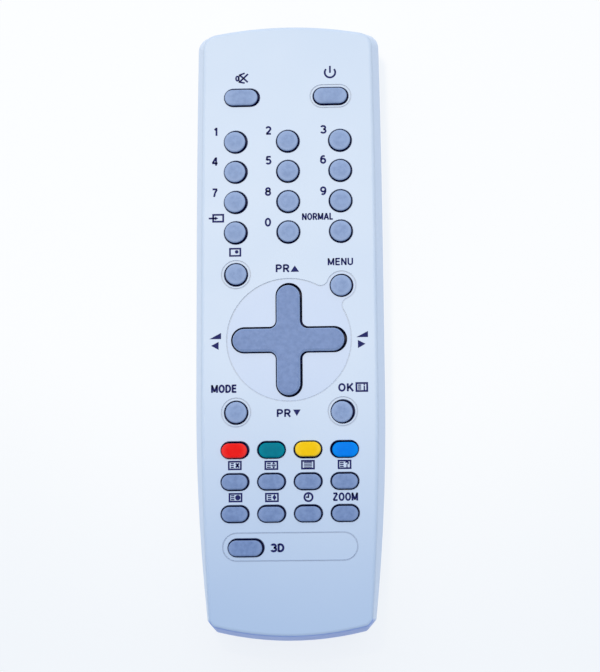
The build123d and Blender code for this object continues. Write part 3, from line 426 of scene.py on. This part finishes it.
# Each letter's width and strokes: four numbers are a line from point to point, and six are an arc with its
# middle, radii, start and sweep
stem = (0.8, 0.0, 0.8, 10.0)
upper_bow = ((3.2, 6.9, 2.1, 2.3, -90.0, 180.0), (0.8, 9.2, 3.2, 9.2), (0.8, 4.6, 3.2, 4.6))
letters = {
    "0": (6.4, [(3.2, 5.0, 2.4, 4.2, 0.0, 360.0)]),
    "1": (4.3, [(3.4, 0.0, 3.4, 10.0), (3.2, 9.0, 0.9, 7.1)]),
    "2": (6.4, [(3.15, 6.75, 2.45, 2.45, 165.0, -200.0), (5.16, 5.34, 0.9, 0.9), (0.5, 0.8, 6.2, 0.8)]),
    "3": (6.0, [(3.0, 7.2, 2.2, 2.0, 160.0, -250.0), (3.1, 3.0, 2.45, 2.2, 90.0, -250.0)]),
    "4": (6.6, [(4.75, 0.0, 4.75, 10.0), (4.4, 9.3, 0.8, 3.1), (0.2, 2.9, 6.5, 2.9)]),
    "5": (6.2, [(1.6, 9.2, 5.9, 9.2), (1.6, 9.6, 1.2, 4.9), (3.1, 3.3, 2.5, 2.5, 140.0, -290.0)]),
    "6": (6.4, [(3.2, 3.4, 2.4, 2.6, 0.0, 360.0), (3.4, 4.9, 2.6, 4.3, 180.0, -125.0)]),
    "7": (6.4, [(0.4, 9.2, 6.1, 9.2), (5.8, 9.0, 3.4, 5.0), (3.4, 5.0, 2.3, 0.0)]),
    "8": (6.4, [(3.2, 7.3, 2.05, 1.9, 0.0, 360.0), (3.2, 3.1, 2.4, 2.3, 0.0, 360.0)]),
    "9": (6.4, [(3.2, 6.6, 2.4, 2.6, 0.0, 360.0), (3.0, 5.1, 2.6, 4.3, 0.0, -125.0)]),
    "A": (7.0, [(0.5, 0.0, 3.5, 9.8), (6.5, 0.0, 3.5, 9.8), (1.6, 3.3, 5.4, 3.3)]),
    "D": (6.4, [stem, (2.6, 5.0, 3.0, 4.2, -90.0, 180.0), (0.8, 9.2, 2.6, 9.2), (0.8, 0.8, 2.6, 0.8)]),
    "E": (5.6, [stem, (0.8, 9.2, 5.4, 9.2), (0.8, 5.2, 5.0, 5.2), (0.8, 0.8, 5.4, 0.8)]),
    "K": (6.2, [stem, (0.8, 3.4, 5.6, 10.0), (2.6, 5.6, 6.0, 0.0)]),
    "L": (5.2, [stem, (0.8, 0.8, 5.0, 0.8)]),
    "M": (7.7, [stem, (6.9, 0.0, 6.9, 10.0), (0.8, 9.6, 3.85, 1.0), (6.9, 9.6, 3.85, 1.0)]),
    "N": (6.4, [stem, (5.6, 0.0, 5.6, 10.0), (0.8, 9.6, 5.6, 0.4)]),
    "O": (7.0, [(3.5, 5.0, 2.7, 4.2, 0.0, 360.0)]),
    "P": (6.0, [stem, *upper_bow]),
    "R": (6.3, [stem, *upper_bow, (3.0, 4.6, 5.8, 0.0)]),
    "U": (6.4, [(0.8, 10.0, 0.8, 3.2), (5.6, 10.0, 5.6, 3.2), (3.2, 3.2, 2.4, 2.4, 180.0, 180.0)]),
    "Z": (6.4, [(0.6, 9.2, 5.8, 9.2), (5.6, 9.0, 0.8, 1.0), (0.5, 0.8, 6.0, 0.8)]),
}


class Stencil:
    """Flat shapes in millimetres on the top face, printed together as one piece."""

    def __init__(self, name):
        self.name = name
        self.shape = bmesh.new()

    def bar(self, place, size, turn=0.0):
        """A bar of a length and width, turned by degrees."""
        spot = Matrix.Translation((*place, 0.0)) @ Matrix.Rotation(math.radians(turn), 4, "Z")
        spot = spot @ Matrix.Diagonal((size[0], size[1], 1.0, 1.0))
        bmesh.ops.create_grid(self.shape, x_segments=1, y_segments=1, size=0.5, matrix=spot)
        return self

    def line(self, start, end, width):
        """A bar from one point to another."""
        start, end = Vector(start), Vector(end)
        along = end - start
        turn = math.degrees(math.atan2(along.y, along.x))
        return self.bar((start + end) / 2, (along.length, width), turn)

    def disc(self, place, radius):
        """A full disc."""
        spot = Matrix.Translation((*place, 0.0))
        bmesh.ops.create_circle(self.shape, cap_ends=True, segments=disc_sides, radius=radius, matrix=spot)
        return self

    def arc(self, place, radii, width, start=0.0, sweep=360.0):
        """A round or oval ring, or part of one, from a start angle over a sweep in degrees."""
        across, high = radii
        aim = Vector((math.cos(math.radians(start)), math.sin(math.radians(start)), 0.0))
        center = Vector((*place, 0.0))
        before = set(self.shape.verts)
        ends = [self.shape.verts.new(center + aim * (high + side * width / 2)) for side in (-1, 1)]
        edge = self.shape.edges.new(ends)
        bmesh.ops.spin(
            self.shape,
            geom=[*ends, edge],
            cent=center,
            axis=(0, 0, 1),
            angle=math.radians(sweep),
            steps=max(8, round(abs(sweep) / arc_steps_apart)),
            use_merge=sweep == 360.0,
        )
        added = [vert for vert in self.shape.verts if vert not in before]
        for side in (-1, 1):
            rim = [vert for vert in added if ((vert.co - center).length > high) == (side > 0)]
            stretch = (across + side * width / 2) / (high + side * width / 2)
            to_center = Matrix.Translation(-center)
            bmesh.ops.scale(self.shape, vec=(stretch, 1.0, 1.0), space=to_center, verts=rim)
        return self

    def write(self, word, place, size, pen):
        """Plain stroke letters and digits, fitted to a width and height around a middle."""
        advance = sum(letters[letter][0] for letter in word) + letter_gap * (len(word) - 1)
        across, high = size[0] / advance, size[1] / letter_height
        left, low = place[0] - size[0] / 2, place[1] - size[1] / 2
        for letter in word:
            width, strokes = letters[letter]
            for x, y, *rest in strokes:
                spot = (left + x * across, low + y * high)
                reach = (rest[0] * across, rest[1] * high)
                if len(rest) == 2:
                    self.line(spot, (left + reach[0], low + reach[1]), pen)
                else:
                    self.arc(spot, reach, pen, rest[2], rest[3])
            left += (width + letter_gap) * across
        return self

    def patch(self, *corners):
        """A flat patch between a few corners."""
        self.shape.faces.new([self.shape.verts.new((*corner, 0.0)) for corner in corners])
        return self

    def box(self, place, size, width):
        """A rectangular outline drawn with a line of a width."""
        half_long = size[0] / 2 - width / 2
        half_high = size[1] / 2 - width / 2
        x, y = place
        for side in (-1, 1):
            self.bar((x, y + side * half_high), (size[0], width))
            self.bar((x + side * half_long, y), (width, size[1] - 2 * width))
        return self

    def done(self):
        """Gives the shapes their thickness and puts them on the top face as one piece."""
        flat = list(self.shape.faces)
        bmesh.ops.recalc_face_normals(self.shape, faces=flat)
        turned = [face for face in flat if face.normal.z > 0]
        bmesh.ops.reverse_faces(self.shape, faces=turned)
        raised = bmesh.ops.extrude_face_region(self.shape, geom=flat, use_keep_orig=True)["geom"]
        tops = [item for item in raised if isinstance(item, bmesh.types.BMVert)]
        bmesh.ops.translate(self.shape, verts=tops, vec=(0, 0, ink_thickness / MM))
        bmesh.ops.recalc_face_normals(self.shape, faces=self.shape.faces)
        bmesh.ops.scale(self.shape, verts=self.shape.verts, vec=(MM, MM, MM))
        bmesh.ops.translate(self.shape, verts=self.shape.verts, vec=(0, 0, top_face - ink_thickness / 4))
        mesh = bpy.data.meshes.new(self.name)
        self.shape.to_mesh(mesh)
        self.shape.free()
        mesh.materials.append(ink)
        piece = bpy.data.objects.new(self.name, mesh)
        bpy.context.scene.collection.objects.link(piece)
        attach(piece, "handset")


# Middle and width of each digit
digit_places = {
    "1": (-22.16, 59.3, 1.0),
    "2": (-5.93, 59.43, 1.65),
    "3": (10.84, 59.44, 1.75),
    "4": (-22.36, 49.87, 1.75),
    "5": (-5.98, 49.97, 1.65),
    "6": (10.74, 49.92, 1.78),
    "7": (-22.35, 39.99, 1.6),
    "8": (-6.13, 40.10, 1.75),
    "9": (10.68, 40.05, 1.8),
    "0": (-6.19, 30.50, 1.82),
}
for digit, (x, y, width) in digit_places.items():
    Stencil("legend_" + digit).write(digit, (x, y), (width, digit_height), digit_pen).done()

# Middle, size and pen of each word
words = {
    "legend_normal": ("NORMAL", (8.9, 32.05), (9.35, 2.1), 0.47),
    "legend_menu": ("MENU", (15.65, 17.91), (7.6, 2.2), 0.47),
    "legend_programme_up": ("PR", (-1.82, 16.11), (4.1, 2.35), 0.55),
    "legend_programme_down": ("PR", (-1.70, -28.04), (4.15, 2.3), 0.55),
    "legend_mode": ("MODE", (-19.55, -20.49), (7.55, 2.35), 0.58),
    "legend_ok": ("OK", (16.85, -20.53), (4.5, 2.4), 0.56),
    "legend_zoom": ("ZOOM", (16.33, -53.15), (7.35, 2.35), 0.54),
    "legend_3d": ("3D", (-3.80, -67.99), (3.95, 2.35), 0.65),
}
for name, (word, middle, size, pen) in words.items():
    Stencil(name).write(word, middle, size, pen).done()

# Power and mute
power = Stencil("legend_power_symbol")
power.arc((13.1, 77.61), (1.62, 1.62), 0.58, start=138.0, sweep=262.0)
power.bar((13.1, 78.6), (0.54, 2.25)).done()
mute = Stencil("legend_mute_symbol")
mute.arc((-15.45, 76.19), (0.40, 0.70), 0.50).bar((-14.92, 76.17), (0.36, 1.7))
mute.line((-15.02, 77.19), (-13.18, 77.88), 0.52).line((-15.02, 75.11), (-13.18, 74.7), 0.52)
mute.line((-14.81, 77.39), (-12.23, 74.97), 0.54).line((-12.16, 77.6), (-14.95, 74.9), 0.54).done()

# Input and small picture
input_mark = Stencil("legend_input_symbol")
input_mark.box((-21.32, 31.99), (3.62, 2.7), 0.56).bar((-23.1, 31.95), (2.2, 0.54))
input_mark.patch((-22.3, 31.35), (-21.3, 31.95), (-22.3, 32.55)).done()
picture = Stencil("legend_picture_symbol")
picture.box((-16.16, 21.3), (3.68, 2.74), 0.52).disc((-15.7, 21.42), 0.55).done()

# Arrows and volume wedges round the cross key
Stencil("legend_arrow_up").patch((0.55, 14.97), (3.16, 14.97), (1.86, 16.93)).done()
Stencil("legend_arrow_down").patch((1.07, -27.03), (2.19, -28.97), (3.31, -27.03)).done()
volume_down = Stencil("legend_volume_down")
volume_down.patch((-23.96, -5.37), (-20.42, -5.37), (-20.42, -3.48))
volume_down.patch((-23.41, -7.39), (-21.16, -8.64), (-21.16, -6.2)).done()
volume_up = Stencil("legend_volume_up")
volume_up.patch((20.13, -5.37), (23.66, -5.37), (23.66, -3.53))
volume_up.patch((20.62, -8.70), (22.9, -7.42), (20.62, -6.22)).done()


def lines(stencil, middle, length, rows=page_rows, pen=row_pen):
    """A few short lines of writing."""
    for row in rows:
        stencil.bar((middle[0], middle[1] + row), (length, pen))
    return stencil


def page(name, middle, line_middle, line_length):
    """A page of text: its outline, and its lines of writing beside its middle."""
    stencil = Stencil(name).box(middle, (page_width, page_height), page_pen)
    return lines(stencil, (line_middle, middle[1]), line_length)


cancel = page("legend_text_cancel_symbol", (-16.3, -43.55), -17.07, 0.9)
cancel.line((-16.0, -42.9), (-15.08, -44.2), 0.52).line((-16.0, -44.2), (-15.08, -42.9), 0.52).done()
resize = page("legend_text_size_symbol", (-5.47, -43.62), -6.2, 1.1)
resize.bar((-4.78, -43.62), (1.38, 0.36)).patch((-5.3, -43.3), (-4.26, -43.3), (-4.78, -42.6))
resize.patch((-5.3, -43.94), (-4.78, -44.64), (-4.26, -43.94)).done()
full = Stencil("legend_text_symbol").box((5.38, -43.56), (page_width, full_page_height), page_pen)
lines(full, (5.38, -43.56), full_page_row_length, full_page_rows, full_page_row_pen).done()
reveal = page("legend_text_reveal_symbol", (16.21, -43.60), 15.38, 1.1)
reveal.arc((16.92, -43.16), (0.35, 0.36), 0.46, start=175.0, sweep=-235.0)
reveal.bar((16.92, -43.8), (0.42, 0.4)).bar((16.92, -44.32), (0.44, 0.32)).done()
page("legend_text_hold_symbol", (-16.11, -53.10), -16.95, 1.05).disc((-15.44, -53.10), 0.79).done()
blend = page("legend_text_mix_symbol", (-5.34, -53.15), -6.05, 1.1)
blend.patch((-5.2, -53.15), (-4.6, -54.05), (-4.0, -53.15), (-4.6, -52.25)).done()
info = Stencil("legend_info_symbol").box((21.61, -20.5), (3.75, 2.95), 0.55)
lines(info, (20.95, -20.5), 0.95).bar((22.35, -20.8), (0.42, 1.3)).bar((22.35, -19.8), (0.42, 0.38)).done()
clock = Stencil("legend_clock_symbol").arc((5.46, -53.17), (1.2, 1.2), 0.57)
clock.line((5.46, -53.35), (5.46, -52.3), 0.46).line((5.63, -53.18), (4.7, -53.18), 0.46).done()


# Stage, light and camera

floor_half_width = 3.0
floor_glow = (0.96, 0.98, 1.0)
floor_glow_strength = 0.785

# A wide soft spot over the infrared end, which fades towards the tail
lamp_place = Vector((-0.10, 0.18, 0.77))
lamp_aim = Vector((0.0, 0.175, 0.0))
lamp_power = 10.6
lamp_color = (1.0, 0.76, 0.41)
lamp_cone = math.radians(35.6)
lamp_edge = 0.1
lamp_radius = 0.048

# A bluish room, bright overhead and behind the infrared end, dim low down and towards the tail
room_color = (0.72, 0.832, 1.0)
bright_way = (-0.05, 0.42, 0.90)
dark_lean = -0.35
bright_lean = 0.95
room_brightness = 1.25

# The camera, fitted to the photograph
camera_place = (0.02511, -0.11061, 0.58126)
camera_right = Vector((0.99917, -0.00708, -0.04031))
camera_up = Vector((0.01444, 0.98256, 0.18538))
camera_back = Vector((0.03830, -0.18581, 0.98184))
camera_lens = 101.8
sensor_width = 36.0
nearest_seen = 0.01
furthest_seen = 20.0

floor_finish = new_finish("studio_floor", floor_color, 0.95, specular_ior_level=0.0)
_, _, floor_shader = tools_of(floor_finish)
floor_shader.inputs["Emission Color"].default_value = (*floor_glow, 1.0)
floor_shader.inputs["Emission Strength"].default_value = floor_glow_strength
sheet = bmesh.new()
bmesh.ops.create_grid(sheet, x_segments=1, y_segments=1, size=floor_half_width)
floor_mesh = bpy.data.meshes.new("studio_floor")
sheet.to_mesh(floor_mesh)
sheet.free()
floor_mesh.materials.append(floor_finish)
floor = bpy.data.objects.new("studio_floor", floor_mesh)
bpy.context.scene.collection.objects.link(floor)

lamp = bpy.data.lights.new("key_light", "SPOT")
lamp.energy = lamp_power
lamp.color = lamp_color
lamp.spot_size = lamp_cone
lamp.spot_blend = lamp_edge
lamp.shadow_soft_size = lamp_radius
hung_lamp = bpy.data.objects.new("key_light", lamp)
hung_lamp.location = lamp_place
hung_lamp.rotation_euler = (lamp_aim - lamp_place).to_track_quat("-Z", "Y").to_euler()
bpy.context.scene.collection.objects.link(hung_lamp)

world = bpy.data.worlds.new("studio")
bpy.context.scene.world = world
world.use_nodes = True
room = world.node_tree.nodes
wires = world.node_tree.links
sky = room["Background"]
sky.inputs["Color"].default_value = (*room_color, 1.0)
direction = room.new("ShaderNodeTexCoord")
lean = room.new("ShaderNodeVectorMath")
lean.operation = "DOT_PRODUCT"
lean.inputs[1].default_value = bright_way
glow = room.new("ShaderNodeMapRange")
glow.inputs["From Min"].default_value = dark_lean
glow.inputs["From Max"].default_value = bright_lean
glow.inputs["To Min"].default_value = 0.0
glow.inputs["To Max"].default_value = room_brightness
wires.new(direction.outputs["Generated"], lean.inputs[0])
wires.new(lean.outputs["Value"], glow.inputs["Value"])
wires.new(glow.outputs["Result"], sky.inputs["Strength"])

view = bpy.data.cameras.new("camera")
view.lens = camera_lens
view.sensor_width = sensor_width
view.clip_start = nearest_seen
view.clip_end = furthest_seen
camera = bpy.data.objects.new("camera", view)
turned = Matrix((camera_right, camera_up, camera_back)).transposed().to_4x4()
camera.matrix_world = Matrix.Translation(camera_place) @ turned
bpy.context.scene.collection.objects.link(camera)
bpy.context.scene.camera = camera
bpy.context.scene.view_settings.view_transform = "Standard"
